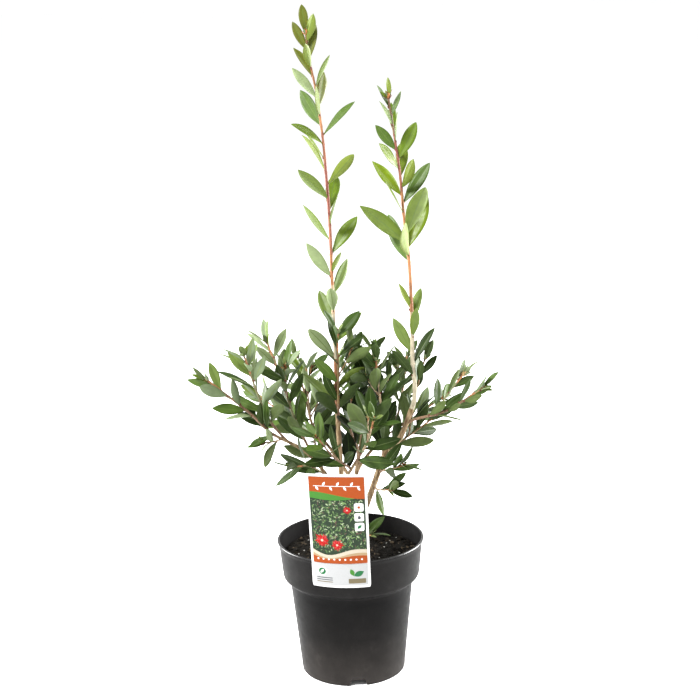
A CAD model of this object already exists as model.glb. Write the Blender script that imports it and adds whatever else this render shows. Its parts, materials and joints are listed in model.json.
"""Looks of a young bottlebrush shrub in a black nursery pot, with a picture tag hooked over the rim.

Metres, +Z up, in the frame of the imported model. The stems and leaves grow by the same seeded rule as the
solids, so each fine leaf lies where its solid is, and the tips carry bud scales and young leaves besides.
"""

import json
import math
import random
from collections import namedtuple
from functools import partial
from itertools import product

import bmesh
import bpy
from mathutils import Matrix, Vector, noise
from mathutils.bvhtree import BVHTree

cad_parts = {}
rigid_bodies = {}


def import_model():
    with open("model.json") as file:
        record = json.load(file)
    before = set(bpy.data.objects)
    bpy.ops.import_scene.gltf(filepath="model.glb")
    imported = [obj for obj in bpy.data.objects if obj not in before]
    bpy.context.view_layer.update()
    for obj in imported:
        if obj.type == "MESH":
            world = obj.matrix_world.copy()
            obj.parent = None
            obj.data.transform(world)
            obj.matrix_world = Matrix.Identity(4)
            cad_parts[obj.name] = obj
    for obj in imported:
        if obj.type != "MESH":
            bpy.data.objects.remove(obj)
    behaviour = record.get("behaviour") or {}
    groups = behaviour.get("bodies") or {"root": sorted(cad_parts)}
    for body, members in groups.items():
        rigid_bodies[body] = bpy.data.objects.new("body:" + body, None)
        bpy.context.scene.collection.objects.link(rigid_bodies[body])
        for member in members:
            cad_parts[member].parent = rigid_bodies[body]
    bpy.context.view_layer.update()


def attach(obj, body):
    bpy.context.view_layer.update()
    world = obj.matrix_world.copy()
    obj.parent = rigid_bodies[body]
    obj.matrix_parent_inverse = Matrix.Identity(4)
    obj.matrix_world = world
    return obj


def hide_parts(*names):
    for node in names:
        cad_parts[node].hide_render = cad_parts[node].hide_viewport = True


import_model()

# Clear space between neighbouring solids
GAP = 0.0003

# Pot
POT_HEIGHT = 0.189
BASE_RADIUS = 0.0710
BODY_TOP = 0.130
BODY_TOP_RADIUS = 0.0842
SHOULDER_TOP = 0.1385
BAND_RADIUS = 0.0936
LIP_BOTTOM = 0.1855
BAND_TOP_RADIUS = 0.0985
LIP_RADIUS = 0.1004
WALL = 0.0018
POT_SIDES = 168
FLOOR = 0.0022
FOOT_RING = 0.0050
CENTRE_PAD_RADIUS = 0.042
RECESS_HEIGHT = 0.0075
NOTCHES = 3
DRAIN_HOLES = 8
NOTCH_FOOT_WIDTH = 0.026
NOTCH_TOP_WIDTH = 0.018
NOTCH_HEIGHT = 0.0092
NOTCH_TURN = 4.6
DRAIN_HOLE_RADIUS = 0.0045
HOLE_SIDES = 24
RECESS_SLOPE = 0.004
CUT_PAST = 0.002
PLASTIC_ROUNDING = 0.0022
INSIDE_ROUNDING = 0.004
NOTCH_ROUNDING = 0.0012
LIP_POLISH = 0.0016
UNDERSIDE_MARGIN = 0.0004
UNDERSIDE_INSET = 0.0008
DUST_HEIGHT = 0.200

# Soil
SOIL_LEVEL = 0.168
SOIL_EDGE_DROP = 0.003
BAND_SLOPE = 0.085
SOIL_RINGS = 54
SOIL_SIDES = 132
SOIL_WALL_TOP = 0.006
SOIL_SUNK = 0.0014
SOIL_LUMPS = 0.0022
SOIL_CRUMBS = 0.0009
SOIL_FALL = 0.0020
SOIL_CHIPS = 1500
SOIL_SPECKS = 46
CHIPS_OFF_WALL = 0.004
CHIP_WEIGHTS = (10, 4, 1)
SPECK_SIZES = ((0.0005, 0.0011), (0.0004, 0.0009), (0.0004, 0.0008))
CHIP_FACES = [(0, 1, 3, 2), (4, 6, 7, 5), (0, 4, 5, 1), (2, 3, 7, 6), (0, 2, 6, 4), (1, 5, 7, 3)]

# Tag
TAG_WIDTH = 0.0795
TAG_THICK = 0.0006
TAG_BOTTOM = 0.1525
TAG_TOP = 0.3155
TAG_LEAN = 7.3
TAG_TURN = -8.3
TAG_FLATTENING = 0.7
TAG_OFF_RIM = 0.0005
TAG_BACK = 0.00005
TAG_COLUMNS = 20
TAG_ROWS = 41
TAG_CORNER = 0.0011
TONGUE_WIDTH = 0.030
TONGUE_DEPTH = 0.0120
TONGUE_THICK = 0.0006
TONGUE_SLANT = 0.0008
TONGUE_OFF_WALL = 0.0030
TONGUE_REACH = 0.0012
TONGUE_COLUMNS = 12
BRIDGE_THICK = 0.0007
CARD_WHITE = (0.46, 0.46, 0.455)
PRINT_LAYER = 0.00004
PRINT_CELL = 0.0040
PRINT_BORDER = 0.0032
PRINT_LEAVES = 1100
BLOSSOM_PETALS = 34

# Trunk
TRUNK_FOOT = Vector((0.000, 0.000, SOIL_LEVEL + GAP))
TRUNK_TOP = Vector((0.004, 0.000, 0.202))
TRUNK_RADII = (0.0072, 0.0062)
FLARE_RADIUS = 0.0108
FLARE_HEIGHT = 0.010

# Leaves of the rule
GOLDEN_ANGLE = 137.5
LEAF_WIDTH = (0.26, 0.33)
LEAF_ROLL = 80
LEAF_BEND = (-0.05, 0.12)
LEAF_OVAL = 0.9
PETIOLE_SHARE = 0.10
PETIOLE_HALF_WIDTH = 0.0006
LEAF_RIDGE = 0.0009
LEAF_STATIONS = (0.38, 0.72)
LEAF_CLEARANCE = 0.0005
STEP_PLAY = (0.85, 1.15)
LENGTH_PLAY = (0.88, 1.10)
TURN_PLAY = 14
SPREAD_PLAY = 7
BARE_END = 0.004
TIP_STEP = 0.0015
TIP_SIZES = (0.80, 0.68, 0.56)
SIDESTEPS = ((0, 0), (24, 0), (-24, 0), (48, 8), (-48, 8), (0, -14), (0, 16))

# Side twigs: the part of the stem that they leave, how far they lean out and turn up, and how long they are
TWIG_RADII = (0.0011, 0.0008)
TWIG_START = 0.35
TWIG_SPAN = 0.40
TWIG_OUT = 0.8
TWIG_LIFT = 0.3
TWIG_TURN_UP = 0.35
TWIG_SHARE = 0.45
TWIG_LEAST = 0.012
TWIG_FIRST_LEAF = 0.010

# Space round the soil, the rim and the tag that twigs and leaves stay out of
ABOVE_SOIL = 0.004
ABOVE_RIM = 0.003
INSIDE_RIM = 0.088
ABOVE_TAG = 0.010
BESIDE_TAG = 0.00625
BEHIND_TAG = 0.085

# A limb starts on its parent at a share of the parent's length, and runs through its way points.
Limb = namedtuple("Limb", "name parent at way radii")

LIMBS = (
    Limb("right_limb", "trunk", 1.0,
         ((0.017, 0, 0.219), (0.040, 0, 0.280), (0.053, 0, 0.312), (0.070, 0, 0.327), (0.087, 0, 0.368)),
         (0.0046, 0.0034)),
    Limb("left_limb", "trunk", 0.70,
         ((-0.007, 0, 0.235), (-0.011, 0, 0.300), (-0.013, 0, 0.372)), (0.0042, 0.0030)),
    Limb("left_bough", "left_limb", 0.20,
         ((-0.027, -0.003, 0.273), (-0.056, -0.014, 0.315), (-0.094, -0.031, 0.343)), (0.0030, 0.0021)),
    Limb("back_limb", "trunk", 0.80,
         ((0.006, 0.010, 0.240), (0.012, 0.022, 0.283), (0.020, 0.034, 0.322)), (0.0036, 0.0026)),
    Limb("back_left_bough", "back_limb", 0.45,
         ((-0.018, 0.042, 0.292), (-0.044, 0.072, 0.320)), (0.0026, 0.0020)),
    Limb("back_right_bough", "back_limb", 0.62,
         ((0.040, 0.052, 0.305), (0.064, 0.080, 0.325)), (0.0024, 0.0019)),
    Limb("front_bough", "left_limb", 0.42,
         ((0.000, -0.026, 0.288), (0.010, -0.052, 0.312)), (0.0024, 0.0019)),
)

# A shoot is a stem with leaves. first and step are where its leaves start and how far apart they are, leaf
# is their length at its foot and tip, spread their angle off the stem there, and twigs the side twigs.
Shoot = namedtuple("Shoot", "name parent at way radii first step leaf spread twigs seed")

SHOOTS = (
    Shoot("left_leader_low", "left_limb", 1.0, ((-0.014, 0, 0.449), (-0.0155, 0, 0.560)),
          (0.0028, 0.0023), 0.005, 0.0210, (0.058, 0.054), (51, 32), 0, 3372),
    Shoot("left_leader_middle", "left_leader_low", 1.0, ((-0.0165, 0, 0.630), (-0.0205, 0, 0.710)),
          (0.0022, 0.0019), 0.020, 0.0190, (0.060, 0.058), (42, 38), 0, 8027),
    Shoot("left_leader_top", "left_leader_middle", 1.0,
          ((-0.028, 0, 0.785), (-0.038, 0, 0.842), (-0.040, 0, 0.866)),
          (0.0018, 0.0012), 0.015, 0.0122, (0.064, 0.040), (49, 21), 0, 728),
    Shoot("right_leader_low", "right_limb", 1.0, ((0.089, 0, 0.440), (0.0885, 0, 0.515)),
          (0.0032, 0.0026), 0.028, 0.0182, (0.060, 0.045), (32, 26), 0, 7222),
    Shoot("right_leader_middle", "right_leader_low", 1.0, ((0.0865, 0, 0.570), (0.082, 0, 0.615)),
          (0.0025, 0.0021), 0.053, 0.0086, (0.080, 0.078), (43, 33), 0, 5206),
    Shoot("right_leader_top", "right_leader_middle", 1.0, ((0.076, 0, 0.690), (0.0635, 0, 0.782)),
          (0.0020, 0.0013), 0.018, 0.0118, (0.066, 0.034), (44, 23), 0, 3342),
    Shoot("far_left", "left_bough", 1.0, ((-0.129, -0.045, 0.381), (-0.180, -0.060, 0.430)),
          (0.0020, 0.0012), 0.005, 0.0107, (0.058, 0.040), (49, 20), 0, 5344),
    Shoot("left_front", "left_bough", 0.88, ((-0.108, -0.040, 0.380), (-0.131, -0.072, 0.465)),
          (0.0018, 0.0011), 0.030, 0.0085, (0.058, 0.041), (47, 40), 1, 5234),
    Shoot("left_inner", "left_bough", 0.52,
          ((-0.070, -0.004, 0.358), (-0.086, 0.004, 0.408), (-0.105, 0.014, 0.462)),
          (0.0019, 0.0011), 0.035, 0.0080, (0.056, 0.043), (37, 36), 1, 1058),
    Shoot("left_back", "left_bough", 0.42, ((-0.049, 0.040, 0.335), (-0.056, 0.080, 0.405)),
          (0.0015, 0.0010), 0.023, 0.0118, (0.058, 0.040), (56, 43), 1, 7057),
    Shoot("left_low", "left_bough", 0.34, ((-0.050, -0.024, 0.298), (-0.072, -0.036, 0.302)),
          (0.0013, 0.0010), 0.007, 0.0091, (0.058, 0.044), (56, 48), 0, 1312),
    Shoot("left_small", "left_bough", 0.93, ((-0.100, -0.046, 0.340), (-0.110, -0.055, 0.342)),
          (0.0012, 0.0010), 0.005, 0.0068, (0.058, 0.030), (30, 36), 0, 8727),
    Shoot("centre_front", "left_limb", 0.86, ((-0.011, -0.014, 0.400), (-0.010, -0.026, 0.482)),
          (0.0018, 0.0011), 0.007, 0.0098, (0.057, 0.044), (34, 42), 1, 4090),
    Shoot("centre_right", "right_limb", 0.55, ((0.047, -0.006, 0.350), (0.040, -0.020, 0.440)),
          (0.0019, 0.0011), 0.007, 0.0091, (0.058, 0.044), (38, 37), 2, 2731),
    Shoot("centre_back", "back_limb", 1.0, ((0.028, 0.046, 0.365), (0.038, 0.060, 0.438)),
          (0.0022, 0.0012), 0.014, 0.0081, (0.058, 0.033), (43, 38), 1, 4577),
    Shoot("centre_low", "back_limb", 0.80, ((0.004, 0.010, 0.340), (0.008, 0.004, 0.400)),
          (0.0016, 0.0010), 0.010, 0.0115, (0.058, 0.044), (30, 36), 0, 6536),
    Shoot("far_right", "right_limb", 0.88, ((0.131, -0.024, 0.370), (0.178, -0.050, 0.408)),
          (0.0019, 0.0011), 0.025, 0.0099, (0.043, 0.037), (41, 19), 0, 3463),
    Shoot("right_upper", "far_right", 0.34, ((0.134, 0.000, 0.385), (0.157, 0.010, 0.410)),
          (0.0013, 0.0010), 0.005, 0.0103, (0.048, 0.034), (30, 16), 0, 52),
    Shoot("right_inner", "right_leader_low", 0.10, ((0.098, 0.006, 0.408), (0.106, 0.010, 0.434)),
          (0.0014, 0.0010), 0.005, 0.0089, (0.036, 0.032), (47, 21), 0, 1448),
    Shoot("right_low_back", "right_limb", 0.60, ((0.074, 0.030, 0.314), (0.116, 0.056, 0.336)),
          (0.0015, 0.0010), 0.021, 0.0082, (0.057, 0.042), (35, 33), 1, 8683),
    Shoot("right_low", "right_limb", 0.45, ((0.056, -0.020, 0.290), (0.072, -0.036, 0.300)),
          (0.0013, 0.0010), 0.007, 0.0092, (0.058, 0.041), (30, 26), 0, 55),
    Shoot("right_foot", "right_limb", 0.33, ((0.042, -0.014, 0.259), (0.054, -0.024, 0.262)),
          (0.0012, 0.0010), 0.009, 0.0080, (0.044, 0.040), (46, 36), 0, 56),
    Shoot("back_left", "back_left_bough", 1.0, ((-0.058, 0.100, 0.360), (-0.070, 0.128, 0.410)),
          (0.0019, 0.0011), 0.009, 0.0087, (0.058, 0.032), (53, 17), 1, 61),
    Shoot("back_left_outer", "back_left_bough", 0.70, ((-0.070, 0.076, 0.328), (-0.118, 0.096, 0.362)),
          (0.0015, 0.0010), 0.022, 0.0096, (0.058, 0.044), (51, 29), 0, 4856),
    Shoot("back_right", "back_right_bough", 1.0, ((0.078, 0.106, 0.360), (0.086, 0.132, 0.406)),
          (0.0018, 0.0011), 0.017, 0.0074, (0.049, 0.033), (46, 34), 1, 4594),
    Shoot("back_right_outer", "back_right_bough", 0.60, ((0.086, 0.076, 0.330), (0.132, 0.092, 0.356)),
          (0.0015, 0.0010), 0.033, 0.0082, (0.058, 0.032), (36, 30), 0, 2560),
    Shoot("back_centre", "back_limb", 0.72, ((0.010, 0.070, 0.330), (0.004, 0.124, 0.404)),
          (0.0018, 0.0011), 0.023, 0.0086, (0.049, 0.040), (48, 34), 1, 2896),
    Shoot("front_left", "front_bough", 0.65, ((-0.018, -0.066, 0.322), (-0.040, -0.104, 0.362)),
          (0.0015, 0.0010), 0.005, 0.0096, (0.058, 0.043), (44, 36), 0, 3218),
    Shoot("front_right", "front_bough", 1.0, ((0.024, -0.078, 0.344), (0.034, -0.104, 0.384)),
          (0.0017, 0.0010), 0.005, 0.0090, (0.058, 0.044), (40, 49), 1, 5251),
    Shoot("pot_shoot", "trunk", 0.55, ((0.016, -0.024, 0.198), (0.024, -0.027, 0.201)),
          (0.0011, 0.0009), 0.017, 0.0145, (0.047, 0.040), (49, 27), 0, 3362),
)

LIMB_SIDES = 8
STEM_SIDES = 4
TWIG_SIDES = 3
PATH_STEP = 0.020

# Fine stems and bark
FINE_STEP = 0.0015
FINE_SIDES = 12
BARK_SIDES = 36
BARK_RELIEF = 0.00030
BARK_GRAIN = Vector((900, 900, 150))
BARK_KNOTS = 160
COLLAR = 0.35
TIP_COLLAR = 0.20
COLLAR_LENGTH = 0.007
STEM_BLEND = 0.006
JOINT_SWELLING = 0.16
JOINT_LENGTH = 0.0016
TWIG_FOOT = 1.25

# Fine leaves
FINE_STATIONS = (0.0, 0.035, 0.075, 0.13, 0.20, 0.28, 0.37, 0.46,
                 0.55, 0.64, 0.72, 0.80, 0.87, 0.93, 0.97, 1.0)
SMALL_STATIONS = (0.0, 0.08, 0.20, 0.36, 0.52, 0.68, 0.84, 1.0)
LEAF_THICK = 0.00034
LEAF_EDGE = 0.16
HALF_WAY = 0.55
TIP_SHARPNESS = 12
RIB_SHARE = 0.055
RIB_DEPTH = 1.15
RIB_SHOWS = 0.8
LEAF_SWELL = (1.05, 1.30)
LEAF_BLUNT = (0.78, 1.00)
LEAF_FOLD = (8, 22)
LEAF_CURL = (-0.06, 0.10)
LEAF_SIDEWAYS = 0.05
LEAF_TWIST = 16
LEAF_WAVE = (0.0, 0.035)
RIPPLES = 11

# Tips and buds
BUD_SCALES = 11
YOUNG_LEAVES = 4
YOUNG_LENGTH = (0.010, 0.018)
SLIM = 0.30
LEADER_BUD = (0.009, 0.013)
BUSH_BUD = (0.006, 0.009)
AXIL_BUD = (0.0013, 0.0019)
AXIL_BUD_SIDES = 7

# Camera, fitted to the ellipses of the pot's rim and foot
CAMERA_PLACE = Vector((0, -2.08, 0.9455))
CAMERA_PITCH = 13.37
CAMERA_YAW = 0.163
CAMERA_ROLL = -1.47
SENSOR = 36.0
LENS = 82.57


# Materials

class Look:
    """A procedural material: a Principled shader whose inputs are driven by patterns."""

    def __init__(self, name, roughness, specular=0.5):
        self.made = bpy.data.materials.new(name)
        self.made.use_nodes = True
        self.link = self.made.node_tree.links.new
        self.shader = self.made.node_tree.nodes["Principled BSDF"]
        self.shader.inputs["Roughness"].default_value = roughness
        self.shader.inputs["Specular IOR Level"].default_value = specular
        self.place = self.node("TexCoord").outputs["Object"]

    def node(self, kind, **inputs):
        """New node whose inputs hold these numbers, or take these outputs of other nodes."""
        made = self.made.node_tree.nodes.new("ShaderNode" + kind)
        for name, value in inputs.items():
            if isinstance(value, bpy.types.NodeSocket):
                self.link(value, made.inputs[name])
            else:
                made.inputs[name].default_value = value
        return made

    def stretched(self, scale):
        """The place, scaled apart along X, Y and Z."""
        return self.node("Mapping", Scale=scale, Vector=self.place).outputs["Vector"]

    def noise(self, scale, detail=4.0, roughness=0.55, place=None):
        texture = self.node("TexNoise", Scale=scale, Detail=detail, Roughness=roughness,
                            Vector=place or self.place)
        return texture.outputs["Fac"]

    def height(self, full):
        """How high the place is, from 0 at the ground to 1 at full."""
        return self.node("SeparateXYZ", Vector=self.stretched((1, 1, 1 / full))).outputs["Z"]

    def product(self, first, second):
        """Two patterns multiplied."""
        node = self.node("Mix", Factor=1.0)
        node.data_type = "RGBA"
        node.blend_type = "MULTIPLY"
        self.link(first, node.inputs["A"])
        self.link(second, node.inputs["B"])
        return node.outputs["Result"]

    def ramp(self, factor, *stops):
        """Colour or value by a pattern, from (position, colour) stops."""
        node = self.node("ValToRGB", Fac=factor)
        marks = node.color_ramp.elements
        while len(marks) < len(stops):
            marks.new(0.5)
        for mark, (position, colour) in zip(marks, stops):
            mark.position = position
            mark.color = (*colour, 1) if isinstance(colour, tuple) else (colour, colour, colour, 1)
        return node.outputs["Color"]

    def drive(self, socket, source):
        self.link(source, self.shader.inputs[socket])

    def bump(self, height, strength, distance):
        """Relief by a pattern, over any relief that is there already."""
        node = self.node("Bump", Strength=strength, Distance=distance, Height=height)
        normal = self.shader.inputs["Normal"]
        if normal.is_linked:
            self.link(normal.links[0].from_socket, node.inputs["Normal"])
        self.link(node.outputs["Normal"], normal)


def srgb(red, green, blue):
    """Linear colour of a colour given in the 0 to 255 steps of a screen."""
    return tuple((c / 255 / 12.92) if c / 255 <= 0.04045 else ((c / 255 + 0.055) / 1.055) ** 2.4
                 for c in (red, green, blue))


def shaded(colour, by):
    """Colour made lighter or darker."""
    return tuple(max(0.0, min(1.0, c * by)) for c in colour)


def leaf_look(name, colour, roughness=0.40, specular=0.24):
    """Satin skin of a leaf, faintly mottled, with a fine grain of veins and pores."""
    look = Look(name, roughness, specular)
    mottle = look.noise(95, 3)
    look.drive("Base Color", look.ramp(mottle, (0.30, shaded(colour, 0.86)), (0.52, colour),
                                       (0.74, shaded(colour, 1.13))))
    look.drive("Roughness", look.ramp(look.noise(230, 2), (0.3, roughness - 0.06), (0.7, roughness + 0.08)))
    look.bump(look.noise(480, 3), 0.05, 0.0002)
    return look.made


def stem_look(name, colour, spots, roughness=0.55):
    """Skin of a young stem: streaks along it, and small spots."""
    look = Look(name, roughness, 0.2)
    streaks = look.noise(420, 4, 0.6, look.stretched((1, 1, 0.22)))
    look.drive("Base Color", look.ramp(streaks, (0.30, spots), (0.46, shaded(colour, 0.86)), (0.60, colour),
                                       (0.80, shaded(colour, 1.14))))
    look.bump(streaks, 0.35, 0.0004)
    return look.made


def bark_look():
    """Grey-brown bark with fibres along it and greener patches."""
    look = Look("bark", 0.85, 0.2)
    fibres = look.noise(260, 6, 0.62, look.stretched((1, 1, 0.16)))
    patches = look.noise(48, 4, 0.6)
    tone = look.ramp(fibres, (0.30, srgb(60, 46, 33)), (0.44, srgb(97, 80, 60)),
                     (0.58, srgb(131, 115, 92)), (0.76, srgb(156, 145, 122)))
    look.drive("Base Color", look.product(tone, look.ramp(patches, (0.35, (0.72, 0.67, 0.52)),
                                                          (0.62, (1.0, 0.95, 0.88)))))
    look.drive("Roughness", look.ramp(fibres, (0.3, 0.95), (0.8, 0.72)))
    look.bump(fibres, 0.7, 0.0010)
    return look.made


def pot_look(name, roughness, specular):
    """Black recycled plastic with a soft sheen, dust in its grain and flow marks from the mould."""
    look = Look(name, roughness, specular)
    settled = look.ramp(look.height(DUST_HEIGHT), (0.02, (0.0240, 0.0212, 0.0196)),
                        (0.14, (0.0150, 0.0132, 0.0120)), (0.34, (0.0056, 0.0051, 0.0048)),
                        (0.60, (0.0019, 0.0018, 0.0018)), (0.70, (0.0074, 0.0070, 0.0068)),
                        (0.95, (0.0068, 0.0064, 0.0062)))
    dust = look.ramp(look.noise(34, 5, 0.62), (0.35, 0.68), (0.60, 0.95), (0.80, 1.70))
    look.drive("Base Color", look.product(settled, dust))
    scuffs = look.noise(120, 4, 0.6)
    look.drive("Roughness", look.ramp(scuffs, (0.3, roughness - 0.02), (0.7, roughness + 0.10)))
    look.bump(look.noise(900, 2), 0.10, 0.0003)
    look.bump(look.noise(60, 2, 0.5, look.stretched((1, 1, 0.3))), 0.05, 0.0010)
    return look.made


def soil_look(name, dark, light, roughness=0.95):
    """Matt crumbs, dark in their gaps."""
    look = Look(name, roughness, 0.06)
    crumbs = look.noise(520, 6, 0.7)
    look.drive("Base Color", look.ramp(crumbs, (0.34, dark), (0.56, shaded(light, 0.6)), (0.74, light)))
    look.bump(crumbs, 0.9, 0.0020)
    return look.made


def card_look(name, colour, roughness=0.38):
    """Printed plastic card: an even colour with a faint grain of ink, and a satin surface."""
    look = Look(name, roughness, 0.12)
    grain = look.noise(1500, 2)
    look.drive("Base Color", look.ramp(grain, (0.35, shaded(colour, 0.94)), (0.65, shaded(colour, 1.05))))
    look.drive("Roughness", look.ramp(look.noise(90, 3), (0.3, roughness - 0.06), (0.7, roughness + 0.06)))
    return look.made


# Pieces

class Piece:
    """A mesh gathered shape by shape, with a material for each shape."""

    def __init__(self, name):
        self.name = name
        self.points = []
        self.faces = []
        self.slots = []
        self.looks = []

    def slot_of(self, look):
        if look not in self.looks:
            self.looks.append(look)
        return self.looks.index(look)

    def add(self, points, faces, look):
        """Faces over new points. The look is one material, or one for each face."""
        start = len(self.points)
        self.points.extend(points)
        for i, face in enumerate(faces):
            self.faces.append(tuple(start + k for k in face))
            self.slots.append(self.slot_of(look[i] if isinstance(look, list) else look))

    def tube(self, rings, look, ends=()):
        """Closed skin over rings. The look is one material, or gives one by the gap and the side round it."""
        count = len(rings[0])
        look_of = look if callable(look) else lambda gap, side: look
        faces = []
        looks = []
        for i in range(len(rings) - 1):
            near, far = i * count, (i + 1) * count
            for k in range(count):
                faces.append((near + k, near + (k + 1) % count, far + (k + 1) % count, far + k))
                looks.append(look_of(i, k))
        faces += [tuple(reversed(range(count))), tuple(range((len(rings) - 1) * count, len(rings) * count))]
        looks += ends or (looks[0], looks[-1])
        self.add([point for ring in rings for point in ring], faces, looks)

    def finish(self, slot, *nodes, sharp=None):
        mesh = bpy.data.meshes.new(self.name)
        mesh.from_pydata([tuple(point) for point in self.points], [], self.faces)
        for look in self.looks:
            mesh.materials.append(look)
        mesh.polygons.foreach_set("material_index", self.slots)
        mesh.shade_smooth()
        if sharp:
            mesh.set_sharp_from_angle(angle=math.radians(sharp))
        made = bpy.data.objects.new(self.name, mesh)
        bpy.context.scene.collection.objects.link(made)
        return dress(made, slot, *nodes)


def dress(made, slot, *nodes):
    """Hangs a piece on the plant's one body, in place of these nodes."""
    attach(made, "root")
    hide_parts(*nodes)
    return made


# Paths of limbs

def smooth_path(points, lead, step=PATH_STEP):
    """Points along a curve through the given ones, leaving the first one along lead."""
    reach = (points[1] - points[0]).length
    before = points[1] - lead.normalized() * reach * 2
    after = points[-1] * 2 - points[-2]
    known = [before, *points, after]
    path = [points[0]]
    for a, b, c, d in zip(known, known[1:], known[2:], known[3:]):
        count = max(2, round((c - b).length / step))
        for i in range(1, count + 1):
            t = i / count
            path.append(0.5 * (2 * b + (c - a) * t + (2 * a - 5 * b + 4 * c - d) * t**2
                               + (3 * b - a - 3 * c + d) * t**3))
    return path


def path_length(path):
    return sum((b - a).length for a, b in zip(path, path[1:]))


def point_at(path, distance):
    """Point and direction at a distance along the path."""
    for a, b in zip(path, path[1:]):
        step = (b - a).length
        if distance <= step:
            return a.lerp(b, distance / step), (b - a).normalized()
        distance -= step
    return path[-1].copy(), (path[-1] - path[-2]).normalized()


def frames(path):
    """Direction, side and upper side at each point of the path, turned as little as possible."""
    ahead = [(b - a).normalized() for a, b in zip(path, path[1:])]
    ahead.append(ahead[-1])
    directions = [ahead[0]] + [(a + b).normalized() for a, b in zip(ahead, ahead[1:])]
    side = directions[0].orthogonal().normalized()
    made = []
    for direction in directions:
        side = (side - direction * side.dot(direction)).normalized()
        made.append((direction, side, direction.cross(side)))
    return made


def walk(path):
    """Each point of the path, its direction, side and upper side, and how far along the path it is."""
    done = 0.0
    for before, point, axes in zip([path[0], *path], path, frames(path)):
        done += (point - before).length
        yield point, axes, done


def round_ring(point, side, upper, radius, sides):
    turns = [2 * math.pi * k / sides for k in range(sides)]
    return [point + (side * math.cos(t) + upper * math.sin(t)) * radius for t in turns]


def tube_rings(path, radii, sides, extra=0.0):
    """Rings of a tapering limb. The extra is measured across its flats and beyond both ends."""
    rings = []
    total = path_length(path)
    for i, (point, (ahead, side, upper), done) in enumerate(walk(path)):
        if i in (0, len(path) - 1):
            point = point + ahead * (extra if i else -extra)
        radius = radii[0] + (radii[1] - radii[0]) * done / total + extra / math.cos(math.pi / sides)
        rings.append(round_ring(point, side, upper, radius, sides))
    return rings


def limb_path(limb, paths, step=PATH_STEP):
    """Path of a limb or shoot: on from its parent's tip, or out from the parent's middle."""
    parent = paths[limb.parent]
    foot, lead = point_at(parent, path_length(parent) * limb.at)
    way = [Vector(point) for point in limb.way]
    if limb.at < 1.0:
        lead = (lead + 2 * (way[0] - foot).normalized()).normalized()
    return smooth_path([foot, *way], lead, step)


# The rule for leaves and twigs

Leaf = namedtuple("Leaf", "root along face length width bend share stem")


def half_width(share, width):
    """Half the leaf's width at a share of its length: a thin stalk, then a pointed oval."""
    if share <= PETIOLE_SHARE:
        return PETIOLE_HALF_WIDTH
    blade = (share - PETIOLE_SHARE) / (1 - PETIOLE_SHARE)
    return max(PETIOLE_HALF_WIDTH, width / 2 * math.sin(math.pi * blade**LEAF_OVAL) ** LEAF_OVAL)


def leaf_rings(leaf, extra=0.0):
    """Three-sided rings along the leaf: its two edges, and the ridge of the midrib on its underside."""
    across = leaf.along.cross(leaf.face)
    rings = []
    for share in (0.0, *LEAF_STATIONS):
        half = half_width(share, leaf.width) + extra
        middle = leaf.root + leaf.along * leaf.length * share - leaf.face * leaf.bend * leaf.length * share**2
        ridge = LEAF_RIDGE if share else PETIOLE_HALF_WIDTH
        rings.append([middle - across * half + leaf.face * extra, middle + across * half + leaf.face * extra,
                      middle - leaf.face * (ridge + extra)])
    tip = leaf.root + leaf.along * (leaf.length + extra) - leaf.face * leaf.bend * leaf.length
    rings.append([tip])
    return rings


def outward(direction, turn):
    """Away from a stem that runs in this direction, at a turn around it."""
    return Matrix.Rotation(turn, 3, direction) @ direction.orthogonal().normalized()


def leaf_at(root, direction, share, turn, spread, length, width, roll, bend):
    """Leaf at a share of a stem that runs in this direction, a turn around it and a spread away from it."""
    along = (direction * math.cos(spread) + outward(direction, turn) * math.sin(spread)).normalized()
    face = (direction - along * direction.dot(along)).normalized()
    face = Matrix.Rotation(roll, 3, along) @ face
    return Leaf(root, along, face, length, width, bend, share, direction)


def leaf_choices(path, first, step, length, spread, rng):
    """For each place on a stem, the leaf that the spiral gives and the ones to take if it is in the way."""
    total = path_length(path)
    turn = rng.uniform(0, 360)
    distance = first
    places = []
    while distance < total - BARE_END:
        places.append((distance, 1.0))
        distance += step * rng.uniform(*STEP_PLAY)
    places += [(total - TIP_STEP * (i + 1), size) for i, size in enumerate(TIP_SIZES)]
    for distance, size in places:
        share = distance / total
        turn += GOLDEN_ANGLE + rng.uniform(-TURN_PLAY, TURN_PLAY)
        opening = (spread[0] + (spread[1] - spread[0]) * share) * size
        opening += rng.uniform(-SPREAD_PLAY, SPREAD_PLAY)
        long = (length[0] + (length[1] - length[0]) * share) * size**0.5
        long *= rng.uniform(*LENGTH_PLAY)
        wide = long * rng.uniform(*LEAF_WIDTH)
        roll = math.radians(rng.uniform(-LEAF_ROLL, LEAF_ROLL))
        bend = rng.uniform(*LEAF_BEND)
        yield [leaf_at(*point_at(path, distance), share, math.radians(turn + aside),
                       math.radians(opening + wider), long, wide, roll, bend) for aside, wider in SIDESTEPS]


def twig_ways(shoot, path, rng):
    """Points and lead of the side twigs that leave the stem along its upper half."""
    total = path_length(path)
    turn = rng.uniform(0, 360)
    for i in range(shoot.twigs):
        distance = total * (TWIG_START + TWIG_SPAN * (i + 0.5) / shoot.twigs)
        turn += GOLDEN_ANGLE
        foot, direction = point_at(path, distance)
        out = outward(direction, math.radians(turn))
        along = (direction + out * TWIG_OUT + Vector((0, 0, TWIG_LIFT))).normalized()
        reach = TWIG_SHARE * (total - distance) + TWIG_LEAST
        middle = foot + along * reach * 0.5
        end = middle + (along + Vector((0, 0, TWIG_TURN_UP))).normalized() * reach * 0.5
        yield [foot, middle, end], along


# Keeping clear of neighbours

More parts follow.
